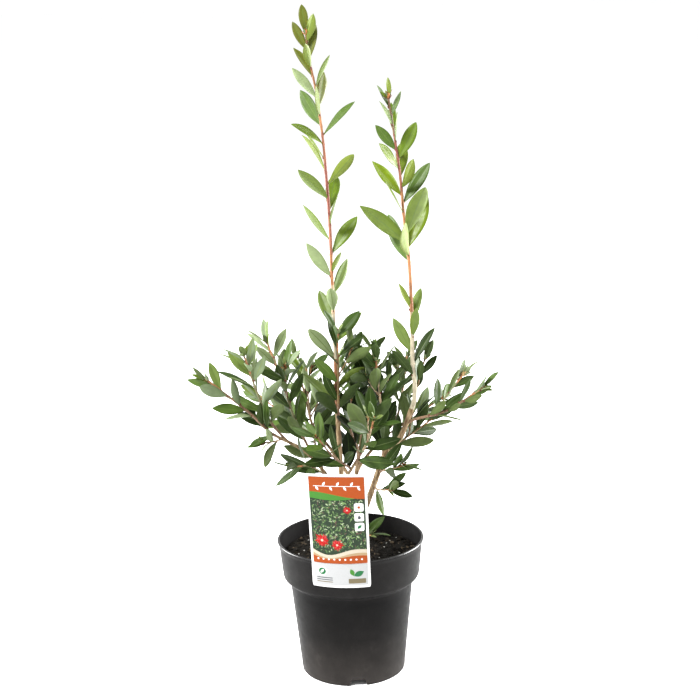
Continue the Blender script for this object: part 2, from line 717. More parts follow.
class Neighbours:
    """Everything that already stands, as surfaces to test a new piece against."""

    def __init__(self):
        self.pieces = []

    def add(self, owner, rings):
        self.pieces.append((owner, *self.surface(rings)))

    @staticmethod
    def surface(rings):
        points = [point for ring in rings for point in ring]
        faces = []
        start = 0
        for near, far in zip(rings, rings[1:]):
            count = len(near)
            for i in range(count):
                j = (i + 1) % count
                if len(far) == 1:
                    faces.append((start + i, start + j, start + count))
                else:
                    faces.append((start + i, start + j, start + count + j, start + count + i))
            start += count
        faces.append(tuple(range(len(rings[0]))))
        if len(rings[-1]) > 2:
            faces.append(tuple(range(start, start + len(rings[-1]))))
        low = Vector(map(min, zip(*points)))
        high = Vector(map(max, zip(*points)))
        return low, high, BVHTree.FromPolygons(points, faces)

    def touched_by(self, rings, but=()):
        low, high, tree = self.surface(rings)
        return [owner for owner, other_low, other_high, other in self.pieces
                if owner not in but
                and all(low[i] <= other_high[i] and high[i] >= other_low[i] for i in range(3))
                and tree.overlap(other)]


def in_pot_or_tag(rings):
    """Whether any point comes close to the soil, the pot or the tag."""
    for point in (p for ring in rings for p in ring):
        if point.z < SOIL_LEVEL + ABOVE_SOIL:
            return True
        if point.z < POT_HEIGHT + ABOVE_RIM and math.hypot(point.x, point.y) > INSIDE_RIM:
            return True
        beside_tag = abs(point.x - tag_middle(point.z)) < TAG_WIDTH / 2 + BESIDE_TAG
        if beside_tag and point.z < TAG_TOP + ABOVE_TAG and point.y < -BEHIND_TAG:
            return True
    return False


def tag_middle(height):
    """Where the tag's middle line is in X at this height."""
    out = LIP_RADIUS + math.tan(math.radians(TAG_LEAN)) * (height - POT_HEIGHT)
    return out * math.sin(math.radians(TAG_TURN))


def plant_stems():
    """Paths of every limb, shoot and twig as the solids have them, the same paths fine, and what stands."""
    paths = {"trunk": [TRUNK_FOOT.lerp(TRUNK_TOP, i / 4) for i in range(5)]}
    fine = {"trunk": [TRUNK_FOOT.lerp(TRUNK_TOP, i / 24) for i in range(25)]}
    for limb in (*LIMBS, *SHOOTS):
        paths[limb.name] = limb_path(limb, paths)
        fine[limb.name] = limb_path(limb, paths, FINE_STEP)
    standing = Neighbours()
    standing.add("trunk", tube_rings(paths["trunk"], TRUNK_RADII, LIMB_SIDES))
    for limb in LIMBS:
        standing.add(limb.name, tube_rings(paths[limb.name], limb.radii, LIMB_SIDES))
    for shoot in SHOOTS:
        standing.add(shoot.name, tube_rings(paths[shoot.name], shoot.radii, STEM_SIDES))
    twigs = {}
    for shoot in SHOOTS:
        rng = random.Random(shoot.seed)
        twigs[shoot.name] = []
        for points, lead in twig_ways(shoot, paths[shoot.name], rng):
            path = smooth_path(points, lead)
            rings = tube_rings(path, TWIG_RADII, TWIG_SIDES, LEAF_CLEARANCE)
            if not standing.touched_by(rings, (shoot.name,)) and not in_pot_or_tag(rings):
                owner = f"{shoot.name} twig {len(twigs[shoot.name])}"
                standing.add(owner, tube_rings(path, TWIG_RADII, TWIG_SIDES))
                twigs[shoot.name].append((owner, path))
                fine[owner] = smooth_path(points, lead, FINE_STEP)
    return paths, fine, twigs, standing


def plant_leaves(paths, twigs, standing):
    """Leaves of each stem and twig, leaving out those that would touch something."""
    leaves = {}
    for shoot in SHOOTS:
        rng = random.Random(shoot.seed + 500)
        stems = [(shoot.name, paths[shoot.name], shoot.first)]
        stems += [(owner, path, TWIG_FIRST_LEAF) for owner, path in twigs[shoot.name]]
        for owner, path, first in stems:
            leaves[owner] = []
            for choices in leaf_choices(path, first, shoot.step, shoot.leaf, shoot.spread, rng):
                for leaf in choices:
                    rings = leaf_rings(leaf, LEAF_CLEARANCE)
                    if in_pot_or_tag(rings) or standing.touched_by(rings, (owner,)):
                        continue
                    standing.add("leaf", leaf_rings(leaf))
                    leaves[owner].append(leaf)
                    break
    return leaves


# Fine leaves

def outline(share, swell, blunt):
    """Width of a leaf at a share of its length, 1 at its widest: a slow taper, then a short point."""
    if share >= 1:
        return 0.0
    widest = swell / (swell + blunt)
    return (share / widest) ** swell * ((1 - share) / (1 - widest)) ** blunt


def add_leaf(piece, leaf, looks, rng, stations=FINE_STATIONS):
    """Thin closed blade on a round stalk, folded along its midrib and waved a little."""
    upper, under, rib = looks
    across = leaf.along.cross(leaf.face)
    swell = rng.uniform(*LEAF_SWELL)
    blunt = rng.uniform(*LEAF_BLUNT)
    fold = math.radians(rng.uniform(*LEAF_FOLD))
    curl = rng.uniform(*LEAF_CURL)
    sideways = rng.uniform(-LEAF_SIDEWAYS, LEAF_SIDEWAYS)
    twist = math.radians(rng.uniform(-LEAF_TWIST, LEAF_TWIST))
    wave = rng.uniform(*LEAF_WAVE)
    phase = rng.uniform(0, 6.28)
    rings = []
    for share in stations:
        stalk = max(0.0, 1 - share / PETIOLE_SHARE)
        tip = PETIOLE_HALF_WIDTH * min(1, (1 - share) * TIP_SHARPNESS)
        half = max(leaf.width / 2 * outline(share, swell, blunt), tip)
        thick = LEAF_THICK * (1 - 0.4 * share) + 2 * PETIOLE_HALF_WIDTH * stalk * 0.8
        middle = leaf.root + leaf.along * leaf.length * share
        middle += (across * sideways - leaf.face * leaf.bend) * leaf.length * share**2
        turn = Matrix.Rotation(twist * share, 3, leaf.along)
        out, up = turn @ across, turn @ leaf.face
        top, low = [], []
        for u in (-1.0, -HALF_WAY, -RIB_SHARE, RIB_SHARE, HALF_WAY, 1.0):
            rise = half * (abs(u) * math.tan(fold) * (1 - stalk) - curl * u * u)
            rise += half * wave * math.sin(phase + RIPPLES * share + (1.2 if u > 0 else 0)) * abs(u)
            place = middle + out * half * u + up * rise
            above = LEAF_EDGE if abs(u) > HALF_WAY else 0.5
            top.append(place + up * thick * above)
            low.append(place - up * thick * (RIB_DEPTH if abs(u) == RIB_SHARE else above))
        rings.append(top + low[::-1])
    below = rib if rng.random() < RIB_SHOWS else under
    strip = [upper, upper, rib, upper, upper, under, under, under, below, under, under, under]
    piece.tube(rings, lambda gap, side: strip[side], (rib, upper))


def add_tip(leaves_piece, buds_piece, path, palette, bud_looks, rng, bud_size):
    """End of a shoot: a tuft of pointed bud scales, with a few young leaves standing round it."""
    foot = path[-1]
    direction = (foot - path[-2]).normalized()
    turn = rng.uniform(0, 6.28)
    for i in range(BUD_SCALES):
        turn += math.radians(GOLDEN_ANGLE)
        opening = math.radians(rng.uniform(4, 14) + 3.0 * i)
        scale = leaf_at(foot - direction * 0.0003 * i, direction, 1.0, turn, opening,
                        bud_size * rng.uniform(0.7, 1.05), bud_size * SLIM, 0.0, 0.10)
        add_leaf(buds_piece, scale, [rng.choice(bud_looks)] * 3, rng, SMALL_STATIONS)
    for i in range(YOUNG_LEAVES):
        turn += math.radians(GOLDEN_ANGLE)
        opening = math.radians(rng.uniform(16, 30) + 5 * i)
        long = rng.uniform(*YOUNG_LENGTH)
        small = leaf_at(foot - direction * 0.001 * i, direction, 1.0, turn, opening, long, long * SLIM,
                        math.radians(rng.uniform(-30, 30)), 0.04)
        add_leaf(leaves_piece, small, palette(rng), rng, SMALL_STATIONS)


def add_axil_bud(piece, leaf, radius, look, rng):
    """Small pointed bud in the angle between a leaf and its stem."""
    out = (leaf.along - leaf.stem * leaf.along.dot(leaf.stem)).normalized()
    foot = leaf.root + out * radius * 0.75 + leaf.stem * 0.0010
    axis = (leaf.stem + out * 0.55).normalized()
    size = rng.uniform(*AXIL_BUD)
    path = [foot + axis * size * t for t in (0.0, 0.6, 1.3, 2.0)]
    rings = []
    for point, (_, side, upper), wide in zip(path, frames(path), (0.55, 0.75, 0.60, 0.12)):
        rings.append(round_ring(point, side, upper, size * wide, AXIL_BUD_SIDES))
    piece.tube(rings, look)


# Plant

# The dark heart of the bush, and from which share of some shoots the leaves are out in the light
BUSH_HEART = Vector((0.012, 0.010, 0.340))
HEART_RADIUS = 0.072
OUT_OF_BUSH = 0.45
OUTER_FROM = {"far_left": 0.30, "left_front": 0.30, "left_back": 0.30, "left_inner": 0.70, "left_small": 0.30,
              "far_right": 0.80, "right_upper": 0.80, "back_left_outer": 0.35, "back_right_outer": 0.35}
LEADERS = tuple(shoot.name for shoot in SHOOTS if "_leader_" in shoot.name)


def leaf_palettes():
    """Functions that deal out (upper side, underside, midrib) looks, one for each kind of spray."""
    olive, lime, fresh, soft, mid, bush, deep, shade, young, sage = (
        leaf_look(f"leaf_{name}", srgb(*colour), *finish) for name, colour, *finish in (
            ("olive", (72, 77, 17)),
            ("lime", (86, 104, 10)),
            ("fresh", (74, 94, 10)),
            ("soft", (80, 96, 42), 0.45, 0.18),
            ("mid", (58, 78, 24), 0.42, 0.18),
            ("bush", (46, 64, 22), 0.44, 0.13),
            ("deep", (31, 45, 13), 0.46, 0.06),
            ("shade", (14, 22, 7), 0.50, 0.03),
            ("young", (84, 98, 48), 0.52),
            ("sage", (92, 105, 76), 0.55, 0.12)))
    under_lime, under_fresh, under_pale, under_mid, under_deep = (
        leaf_look(f"leaf_underside_{name}", srgb(*colour), *finish) for name, colour, *finish in (
            ("lime", (85, 98, 28), 0.48, 0.20),
            ("fresh", (76, 92, 29), 0.48, 0.20),
            ("pale", (103, 116, 78), 0.55, 0.18),
            ("mid", (70, 83, 44), 0.55, 0.12),
            ("deep", (46, 59, 28), 0.55, 0.06)))
    rib_light, rib_mid, rib_deep = (
        leaf_look(f"midrib_{name}", srgb(*colour), 0.5) for name, colour in (
            ("light", (92, 104, 43)),
            ("mid", (68, 86, 31)),
            ("deep", (55, 69, 30))))

    def dealt(*choices):
        return lambda rng: rng.choice(choices)

    return {
        "top": dealt((olive, under_lime, rib_mid), (olive, under_fresh, rib_mid), (mid, under_lime, rib_mid),
                     (fresh, under_fresh, rib_mid), (olive, under_pale, rib_mid)),
        "leader": dealt((lime, under_lime, rib_light), (fresh, under_lime, rib_mid),
                        (fresh, under_fresh, rib_mid), (mid, under_fresh, rib_mid),
                        (mid, under_pale, rib_mid)),
        "leader_low": dealt((fresh, under_fresh, rib_mid), (soft, under_pale, rib_mid),
                            (soft, under_lime, rib_mid), (soft, under_pale, rib_mid)),
        "bush": dealt((mid, under_mid, rib_mid), (bush, under_mid, rib_deep), (bush, under_deep, rib_deep),
                      (deep, under_deep, rib_deep), (bush, under_deep, rib_mid), (deep, under_mid, rib_deep)),
        "inner": dealt((deep, under_deep, rib_deep), (shade, shade, deep), (shade, under_deep, deep),
                       (shade, shade, deep)),
        "outer": dealt((soft, under_pale, rib_mid), (fresh, under_fresh, rib_mid), (mid, under_pale, rib_mid),
                       (mid, under_mid, rib_mid), (sage, sage, rib_light)),
        "young": dealt((young, sage, rib_light), (fresh, under_pale, rib_light)),
    }


def spray_palette(shoot, leaf):
    """Which palette a leaf takes, by its spray and its place along it or in the bush."""
    if shoot.name == "left_leader_top":
        return "top"
    if shoot.name in ("left_leader_middle", "right_leader_top", "right_leader_middle"):
        return "leader"
    if shoot.name == "left_leader_low" or (shoot.name == "right_leader_low" and leaf.share > OUT_OF_BUSH):
        return "leader_low"
    if (leaf.root + leaf.along * leaf.length / 2 - BUSH_HEART).length < HEART_RADIUS:
        return "inner"
    return "outer" if leaf.share > OUTER_FROM.get(shoot.name, 1.0) else "bush"


def stem_radius(radii, share):
    return radii[0] + (radii[1] - radii[0]) * share


def add_stem(piece, path, radii, joints, before, look_at):
    """Fine stem that starts as wide as what it grows on from, with a swelling at each leaf."""
    total = path_length(path)
    rings = []
    looks = []
    for point, (_, side, upper), done in walk(path):
        radius = stem_radius(radii, done / total)
        radius += (before - radii[0]) * math.exp(-done / STEM_BLEND)
        near = min((abs(done - joint) for joint in joints), default=math.inf)
        radius *= 1 + JOINT_SWELLING * math.exp(-((near / JOINT_LENGTH) ** 2))
        rings.append(round_ring(point, side, upper, radius, FINE_SIDES))
        looks.append(look_at(point, done / total))
    piece.tube(rings, lambda gap, side: looks[gap])


def add_bark(piece, path, radii, look, collar, flare=False):
    """Fine limb with ridges along it, a collar at its foot and, on the trunk, a flare with root swellings."""
    total = path_length(path)
    rings = []
    for point, (_, side, upper), done in walk(path):
        radius = stem_radius(radii, done / total) * (1 + collar * math.exp(-done / COLLAR_LENGTH))
        ring = []
        for k in range(BARK_SIDES):
            t = 2 * math.pi * k / BARK_SIDES
            out = side * math.cos(t) + upper * math.sin(t)
            place = point + out * radius
            ridges = noise.fractal(place * BARK_GRAIN, 1.0, 2.0, 4)
            knots = noise.noise(place * BARK_KNOTS)
            here = radius + BARK_RELIEF * ridges * min(1.6, radius / 0.0035) + radius * 0.10 * knots
            if flare:
                rise = max(0.0, 1 - (point.z - TRUNK_FOOT.z) / FLARE_HEIGHT)
                lobes = 0.75 + 0.25 * math.sin(3 * t + 0.6) + 0.12 * math.sin(5 * t)
                here += (FLARE_RADIUS - radii[0]) * rise**2 * lobes
            ring.append(point + out * here)
        rings.append(ring)
    piece.tube(rings, look)


def stem_looks():
    return {name: stem_look(f"stem_{name}", srgb(*colour), srgb(*spots)) for name, colour, spots in (
        ("red", (114, 66, 55), (76, 40, 34)),
        ("rose", (124, 79, 60), (86, 50, 38)),
        ("umber", (98, 80, 48), (66, 50, 32)),
        ("orange", (142, 98, 64), (104, 62, 42)),
        ("sienna", (122, 82, 54), (88, 56, 38)),
        ("tan", (152, 133, 107), (114, 91, 68)),
        ("beige", (152, 144, 123), (109, 95, 76)),
        ("olive", (106, 103, 72), (79, 62, 45)),
        ("brown", (107, 84, 64), (69, 50, 37)))}


# Tone of each leader's stem up to each height
LEADER_TONES = {
    "left": ((0.44, "sienna"), (0.50, "beige"), (0.54, "tan"), (0.58, "orange"), (0.63, "rose"),
             (0.70, "red"), (0.74, "rose"), (0.79, "orange"), (0.825, "sienna"), (2.0, "umber")),
    "right": ((0.47, "beige"), (0.50, "tan"), (0.54, "sienna"), (0.66, "orange"), (0.69, "rose"),
              (0.735, "red"), (2.0, "brown")),
}


def stem_tone(shoot, looks):
    """Function that gives the look of a stem, by height on a leader and else by the share along it."""
    if shoot.name in LEADERS:
        tones = LEADER_TONES[shoot.name.split("_")[0]]
        return lambda point, share: looks[next(name for height, name in tones if point.z < height)]
    own = random.Random(shoot.seed).choice(("tan", "brown", "olive", "umber"))
    return lambda point, share: looks["brown" if share < 0.25 else own if share < 0.8 else "orange"]


def build_plant():
    paths, fine, twigs, standing = plant_stems()
    leaves = plant_leaves(paths, twigs, standing)
    palettes = leaf_palettes()
    looks = stem_looks()
    bark = bark_look()
    scales = [leaf_look(name, srgb(*colour), 0.6, 0.1) for name, colour in (
        ("bud_scale", (152, 97, 58)), ("bud_scale_brown", (92, 56, 40)), ("bud_scale_pale", (160, 134, 92)))]
    dark_bud = leaf_look("axil_bud", srgb(84, 46, 36), 0.6, 0.2)

    wood = Piece("bark")
    add_bark(wood, fine["trunk"], TRUNK_RADII, bark, 0.0, flare=True)
    for limb in LIMBS:
        add_bark(wood, fine[limb.name], limb.radii, bark, COLLAR if limb.at < 1 else TIP_COLLAR)
    wood.finish("bark", "trunk", *(limb.name for limb in LIMBS))

    tips = {limb.name: limb.radii[1] for limb in (*LIMBS, *SHOOTS)}
    names = [shoot.name for shoot in SHOOTS]
    parents = {shoot.parent for shoot in SHOOTS if shoot.at == 1.0}
    stems = Piece("stems")
    blades = {True: Piece("leader_leaves"), False: Piece("bush_leaves")}
    buds = Piece("buds")
    for shoot in SHOOTS:
        rng = random.Random(shoot.seed + 1000)
        tone = stem_tone(shoot, looks)
        leader = shoot.name in LEADERS
        owners = [(shoot.name, shoot.radii)] + [(owner, TWIG_RADII) for owner, _ in twigs[shoot.name]]
        for owner, radii in owners:
            path = fine[owner]
            joints = [leaf.share * path_length(path) for leaf in leaves[owner]]
            grows_on = owner == shoot.name and shoot.at == 1.0
            before = tips[shoot.parent] if grows_on else radii[0] * TWIG_FOOT
            add_stem(stems, path, radii, joints, before, tone)
            for leaf in leaves[owner]:
                add_leaf(blades[leader], leaf, palettes[spray_palette(shoot, leaf)](rng), rng)
                add_axil_bud(buds, leaf, stem_radius(radii, leaf.share), dark_bud, rng)
            if owner not in parents:
                size = rng.uniform(*(LEADER_BUD if leader else BUSH_BUD))
                add_tip(blades[leader], buds, path, palettes["young"], scales, rng, size)
    stems.finish("bark", *names)
    blades[True].finish("foliage", *LEADERS)
    blades[False].finish("foliage", *(name for name in names if name not in LEADERS))
    buds.finish("bark", *names)


# Pot

def rounded(profile, radius, steps=5):
    """The (radius, height) points with each corner rounded, as far as its neighbours leave room."""
    points = [Vector(point) for point in profile]
    made = [points[0]]
    for a, b, c in zip(points, points[1:], points[2:]):
        reach = min(radius, (b - a).length * 0.45, (c - b).length * 0.45)
        start = b + (a - b).normalized() * reach
        end = b + (c - b).normalized() * reach
        for i in range(steps + 1):
            t = i / steps
            made.append(start * (1 - t) ** 2 + b * 2 * t * (1 - t) + end * t**2)
    return [*made, points[-1]]


def apply_modifiers(target):
    graph = bpy.context.evaluated_depsgraph_get()
    mesh = bpy.data.meshes.new_from_object(target.evaluated_get(graph))
    target.modifiers.clear()
    target.data = mesh


def turned(name, profile, sides):
    """Object turned round the Z axis from (radius, height) points."""
    mesh = bpy.data.meshes.new(name)
    mesh.from_pydata([(r, 0, z) for r, z in profile], [(i, i + 1) for i in range(len(profile) - 1)], [])
    made = bpy.data.objects.new(name, mesh)
    bpy.context.scene.collection.objects.link(made)
    screw = made.modifiers.new("turning", "SCREW")
    screw.steps = screw.render_steps = sides
    screw.use_merge_vertices = True
    screw.merge_threshold = 0.00001
    apply_modifiers(made)
    return made


def pot_inside(clear):
    """Inside of the pot from the rim down to the middle of its floor, moved inward by clear."""
    inward = WALL + clear
    return [
        (LIP_RADIUS - 0.0034 - clear, POT_HEIGHT - 0.0007),
        (BAND_TOP_RADIUS - inward, LIP_BOTTOM - 0.002),
        (BAND_RADIUS - inward, SHOULDER_TOP + 0.001),
        (BODY_TOP_RADIUS - inward + 0.0006, BODY_TOP + 0.003),
        (BODY_TOP_RADIUS - inward, BODY_TOP - 0.003),
        (BASE_RADIUS - inward + 0.001, RECESS_HEIGHT + FLOOR + clear),
        (CENTRE_PAD_RADIUS + 0.003 - clear, RECESS_HEIGHT + FLOOR + clear),
        (CENTRE_PAD_RADIUS - FLOOR - clear, FLOOR + clear),
        (0, FLOOR + clear),
    ]


def pot_outside():
    """Outside of the pot from the middle of its underside up to the rim."""
    return [
        (0, 0),
        (CENTRE_PAD_RADIUS, 0),
        (CENTRE_PAD_RADIUS + RECESS_SLOPE, RECESS_HEIGHT),
        (BASE_RADIUS - FOOT_RING, RECESS_HEIGHT),
        (BASE_RADIUS - FOOT_RING + 0.001, 0),
        (BASE_RADIUS - 0.0012, 0),
        (BASE_RADIUS - 0.0002, 0.0012),
        (BODY_TOP_RADIUS - 0.0002, BODY_TOP - 0.0015),
        (BODY_TOP_RADIUS + 0.0006, BODY_TOP + 0.0004),
        (BAND_RADIUS - 0.0024, SHOULDER_TOP - 0.0034),
        (BAND_RADIUS - 0.0007, SHOULDER_TOP - 0.0014),
        (BAND_RADIUS, SHOULDER_TOP + 0.0015),
        (BAND_TOP_RADIUS - 0.0006, LIP_BOTTOM - 0.004),
        (LIP_RADIUS - 0.0004, LIP_BOTTOM),
        (LIP_RADIUS, LIP_BOTTOM + 0.0018),
        (LIP_RADIUS - 0.0006, POT_HEIGHT - 0.0005),
        (LIP_RADIUS - 0.0018, POT_HEIGHT),
    ]


def block(name, rings):
    """Closed cutter through rings of equal size."""
    bm = bmesh.new()
    loops = [[bm.verts.new(point) for point in ring] for ring in rings]
    for near, far in zip(loops, loops[1:]):
        for i in range(len(near)):
            j = (i + 1) % len(near)
            bm.faces.new((near[i], near[j], far[j], far[i]))
    bm.faces.new(loops[0])
    bm.faces.new(loops[-1])
    bmesh.ops.recalc_face_normals(bm, faces=bm.faces)
    mesh = bpy.data.meshes.new(name)
    bm.to_mesh(mesh)
    bm.free()
    return bpy.data.objects.new(name, mesh)


def drain_notch(index):
    """Wedge-shaped cutter for one of the water outlets round the foot of the pot."""
    foot, top = NOTCH_FOOT_WIDTH / 2, NOTCH_TOP_WIDTH / 2
    corners = [(-foot, -CUT_PAST), (-top, NOTCH_HEIGHT), (top, NOTCH_HEIGHT), (foot, -CUT_PAST)]
    rings = [[Vector((x, -radius, z)) for x, z in rounded(corners, NOTCH_ROUNDING)]
             for radius in (BASE_RADIUS - FOOT_RING - 2 * CUT_PAST, BASE_RADIUS + 2 * CUT_PAST)]
    return turn_round(block("notch", rings), 360 * index / NOTCHES + NOTCH_TURN)


def drain_hole(index):
    """Round cutter for one of the holes in the raised part of the floor."""
    radius = (CENTRE_PAD_RADIUS + RECESS_SLOPE + BASE_RADIUS - FOOT_RING) / 2
    rings = [[Vector((x, y, height)) for x, y in disc(0, -radius, DRAIN_HOLE_RADIUS, HOLE_SIDES)]
             for height in (RECESS_HEIGHT - CUT_PAST, RECESS_HEIGHT + FLOOR + CUT_PAST)]
    return turn_round(block("hole", rings), 360 * (index + 0.5) / DRAIN_HOLES + NOTCH_TURN)


def turn_round(target, degrees):
    target.data.transform(Matrix.Rotation(math.radians(degrees), 4, "Z"))
    return target


def cut(target, cutters):
    group = bpy.data.collections.new("cutters")
    bpy.context.scene.collection.children.link(group)
    for cutter in cutters:
        group.objects.link(cutter)
    modifier = target.modifiers.new("cut", "BOOLEAN")
    modifier.operation = "DIFFERENCE"
    modifier.operand_type = "COLLECTION"
    modifier.collection = group
    modifier.solver = "EXACT"
    apply_modifiers(target)
    for cutter in cutters:
        bpy.data.objects.remove(cutter)
    bpy.data.collections.remove(group)


def build_pot():
    inside = rounded(pot_inside(0)[::-1], INSIDE_ROUNDING)
    outside = rounded(pot_outside()[::-1], PLASTIC_ROUNDING)
    pot = turned("nursery_pot", [*inside, *outside], POT_SIDES)
    cut(pot, [drain_notch(i) for i in range(NOTCHES)] + [drain_hole(i) for i in range(DRAIN_HOLES)])
    mesh = pot.data
    mesh.shade_smooth()
    mesh.set_sharp_from_angle(angle=math.radians(40))
    mesh.materials.clear()
    for look in (pot_look("black_plastic", 0.46, 0.042), pot_look("black_plastic_rim", 0.24, 0.42),
                 soil_look("black_plastic_underside", (0.0010, 0.0010, 0.0010), (0.0030, 0.0028, 0.0026))):
        mesh.materials.append(look)
    for face in mesh.polygons:
        low = face.center.z < NOTCH_HEIGHT + UNDERSIDE_MARGIN
        within = face.center.xy.length < BASE_RADIUS - UNDERSIDE_INSET
        face.material_index = 2 if low and within else int(face.center.z > POT_HEIGHT - LIP_POLISH)
    dress(pot, "black_plastic", "pot")


# Soil

def soil_height(x, y):
    """Surface of the potting soil: coarse lumps and fine crumbs, a little lower at the wall."""
    lumps = noise.fractal(Vector((x * 55, y * 55, 1.7)), 1.0, 2.0, 3) * SOIL_LUMPS
    crumbs = noise.fractal(Vector((x * 420, y * 420, 4.1)), 0.8, 2.0, 4) * SOIL_CRUMBS
    fall = SOIL_FALL * max(0.0, math.hypot(x, y) / 0.09 - 0.6)
    return SOIL_LEVEL - SOIL_SUNK + lumps + crumbs - fall


def build_soil():
    peat = soil_look("peat", (0.0022, 0.0018, 0.0015), srgb(32, 30, 26))
    edge = BAND_RADIUS - WALL - GAP + (SOIL_LEVEL - SOIL_EDGE_DROP - SHOULDER_TOP) * BAND_SLOPE
    piece = Piece("potting_soil")
    walls = [(r, z) for r, z in pot_inside(GAP)[::-1] if 0 < r and z < SOIL_LEVEL - SOIL_WALL_TOP]
    rings = [[Vector((x, y, height)) for x, y in disc(0, 0, radius, SOIL_SIDES)] for radius, height in walls]
    for i in range(SOIL_RINGS):
        around = disc(0, 0, edge * (1 - i / SOIL_RINGS), SOIL_SIDES)
        rings.append([Vector((x, y, soil_height(x, y))) for x, y in around])
    piece.tube(rings, peat)
    add_chips(piece, edge - CHIPS_OFF_WALL)
    piece.finish("peat", "soil", sharp=50)


def add_chips(piece, reach):
    """Uneven splinters of bark and a few pale specks, strewn over the soil as far out as reach."""
    rng = random.Random(4)
    chips = [soil_look("bark_chip_dark", (0.0022, 0.0018, 0.0014), srgb(30, 27, 23)),
             soil_look("bark_chip", (0.005, 0.004, 0.003), srgb(56, 50, 41)),
             soil_look("bark_chip_pale", (0.016, 0.012, 0.008), srgb(98, 86, 70))]
    speck = soil_look("pumice_speck", (0.14, 0.14, 0.13), srgb(186, 184, 178), 0.8)
    for i in range(SOIL_CHIPS + SOIL_SPECKS):
        radius = reach * math.sqrt(rng.random())
        t = rng.uniform(0, 6.283)
        x, y = radius * math.cos(t), radius * math.sin(t)
        if i < SOIL_CHIPS:
            long = 0.0007 + 0.0030 * rng.random() ** 2.2
            size = Vector((long, long * rng.uniform(0.25, 0.7), long * rng.uniform(0.12, 0.35)))
            look = rng.choices(chips, CHIP_WEIGHTS)[0]
        else:
            size = Vector([rng.uniform(*span) for span in SPECK_SIZES])
            look = speck
        tilt = Matrix.Rotation(rng.uniform(0, 6.283), 3, "Z") @ Matrix.Rotation(rng.gauss(0, 0.45), 3, "X")
        centre = Vector((x, y, soil_height(x, y) + size.z * 0.5))
        corners = [centre + tilt @ (Vector(corner) * size) for corner in product((-1, 1), repeat=3)]
        points = [corner + Vector([rng.uniform(-0.25, 0.25) * side for side in size]) for corner in corners]
        piece.add(points, CHIP_FACES, look)


# Tag

def tag_point(across, height, out=0.0):
    """Point of the tag's back at this distance across it and this height, moved outward by out."""
    rise = height - POT_HEIGHT
    share = max(0.0, min(1.0, rise / (TAG_TOP - POT_HEIGHT)))
    radius = LIP_RADIUS + TAG_OFF_RIM
    bent = Vector((math.sin(across / radius) * radius, -math.cos(across / radius) * radius, 0))
    flat = Vector((across, -radius, 0))
    point = bent.lerp(flat, TAG_FLATTENING * share)
    point.y -= math.tan(math.radians(TAG_LEAN)) * rise + out
    point.z = height
    return Matrix.Rotation(math.radians(TAG_TURN), 3, "Z") @ point


def disc(x, y, radius, sides):
    turns = [2 * math.pi * k / sides for k in range(sides)]
    return [(x + radius * math.cos(t), y + radius * math.sin(t)) for t in turns]


def soft_box(left, low, right, high, radius, steps=5):
    """Rectangle with round corners."""
    made = []
    for x, y, start in ((right - radius, high - radius, 0), (left + radius, high - radius, 90),
                        (left + radius, low + radius, 180), (right - radius, low + radius, 270)):
        for i in range(steps + 1):
            t = math.radians(start + 90 * i / steps)
            made.append((x + radius * math.cos(t), y + radius * math.sin(t)))
    return made


def wavy(left, right, low, high, dip, swing):
    """Field with a straight foot and a curved top edge, or a curved foot where high is below low."""
    shares = [i / 14 for i in range(15)]
    edge = [high + dip * math.sin(math.pi * t) + swing * math.sin(2 * math.pi * t) for t in shares]
    return [(left, low), (right, low), *((right + (left - right) * t, y) for t, y in zip(shares, edge))]


def petal(x, y, length, width, turn, sides=8):
    """Pointed oval from a foot at (x, y)."""
    made = []
    for k in range(2 * sides):
        share = k / sides if k <= sides else 2 - k / sides
        half = width / 2 * math.sin(math.pi * share) * (1 if k <= sides else -1)
        made.append((x + length * share * math.cos(turn) - half * math.sin(turn),
                     y + length * share * math.sin(turn) + half * math.cos(turn)))
    return made


def add_print(piece, shape, level, look):
    """One printed field on the card's front, cut along the card's cells so that it bends with it."""
    bm = bmesh.new()
    bm.faces.new([bm.verts.new((x, y, 0)) for x, y in shape])
    for normal, low, high in ((Vector((1, 0, 0)), -TAG_WIDTH / 2, TAG_WIDTH / 2),
                              (Vector((0, 1, 0)), TAG_BOTTOM, TAG_TOP)):
        for i in range(1, round((high - low) / PRINT_CELL)):
            bmesh.ops.bisect_plane(bm, geom=[*bm.verts, *bm.edges, *bm.faces],
                                   plane_co=normal * (low + i * PRINT_CELL), plane_no=normal)
    bmesh.ops.triangulate(bm, faces=[face for face in bm.faces if len(face.verts) > 4])
    if sum(face.normal.z for face in bm.faces) > 0:
        bmesh.ops.reverse_faces(bm, faces=bm.faces)
    bm.verts.index_update()
    points = [tag_point(vert.co.x, vert.co.y, TAG_THICK + PRINT_LAYER * level) for vert in bm.verts]
    piece.add(points, [[vert.index for vert in reversed(face.verts)] for face in bm.faces], look)
    bm.free()


